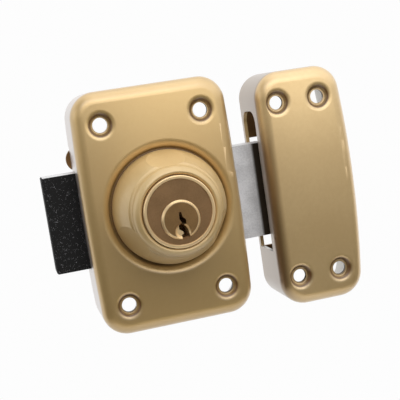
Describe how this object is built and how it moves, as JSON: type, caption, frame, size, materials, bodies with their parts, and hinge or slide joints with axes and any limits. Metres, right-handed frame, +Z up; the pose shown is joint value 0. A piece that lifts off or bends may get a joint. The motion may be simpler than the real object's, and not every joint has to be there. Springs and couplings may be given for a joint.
{
  "type": "security rim deadbolt",
  "caption": "Surface-mounted lock case with a round turning knob and keyed cylinder that drives a sliding bar bolt into a separate box keeper.",
  "frame": {"origin": "where the knob's axis meets the door's face, at the back of the case", "axes": "+X the way the bolt is thrown into the keeper, +Y into the door, +Z up"},
  "size_m": [0.1038, 0.038, 0.0817],
  "materials": {
    "case_lacquer": "satin gold-tan lacquer on pressed steel",
    "knob_lacquer": "satin gold-tan lacquer on turned brass",
    "plate_lacquer": "brown lacquer on flat steel",
    "cylinder_brass": "brown toned brass with a bright turned rim",
    "plug_brass": "turned brass with a bright rim",
    "plain_brass": "plain drawn brass",
    "bolt_steel": "plated steel, black at the tail's front face",
    "plain_steel": "plain zinc-plated steel",
    "screw_steel": "zinc-plated screws",
    "spring_steel": "blued spring steel",
    "cast_zinc": "die-cast light alloy"
  },
  "bodies": {
    "case": {"case_shell": "case_lacquer", "back_plate": "plate_lacquer", "back_plate_pillars": "plain_steel", "back_plate_screws": "screw_steel", "guide_posts": "plain_steel", "bearing_plate": "plain_steel", "bearing_plate_screws": "screw_steel", "brake_spring": "spring_steel", "knob_washer": "plain_steel", "keeper_shell": "case_lacquer", "keeper_plate": "plate_lacquer"},
    "knob": {"knob_shell": "knob_lacquer", "knob_circlip": "spring_steel", "knob_hub": "cast_zinc", "hub_screws": "screw_steel", "cylinder_body": "cylinder_brass", "spring_cover_strip": "plain_brass", "driver_pins": "plain_brass", "pin_springs": "spring_steel", "drive_pinion": "plain_steel"},
    "plug": {"key_plug": "plug_brass", "key_pins": "plain_brass", "plug_cam": "plain_steel", "cam_screw": "screw_steel"},
    "locker": {"locking_bolt": "plain_steel"},
    "bolt": {"bolt_bar": "bolt_steel"}
  },
  "joints": [
    {"name": "knob_turn", "type": "hinge", "parent": "case", "child": "knob", "pos_m": [0, -0.02, 0], "axis": [0, 1, 0], "range_deg": [-180, 180]},
    {"name": "bolt_slide", "type": "slide", "parent": "case", "child": "bolt", "axis": [1, 0, 0], "range_m": [-0.0135, 0.0135]},
    {"name": "plug_turn", "type": "hinge", "parent": "knob", "child": "plug", "pos_m": [0, -0.03, -0.0024], "axis": [0, 1, 0], "range_deg": [0, 90]},
    {"name": "lock_slide", "type": "slide", "parent": "knob", "child": "locker", "axis": [0, 0, -1], "range_m": [0, 0.0026]}
  ],
  "couplings": [
    {"joint": "knob_turn", "follows": "bolt_slide", "rad_per_m": 232.71},
    {"joint": "plug_turn", "follows": "lock_slide", "rad_per_m": 604.15}
  ]
}
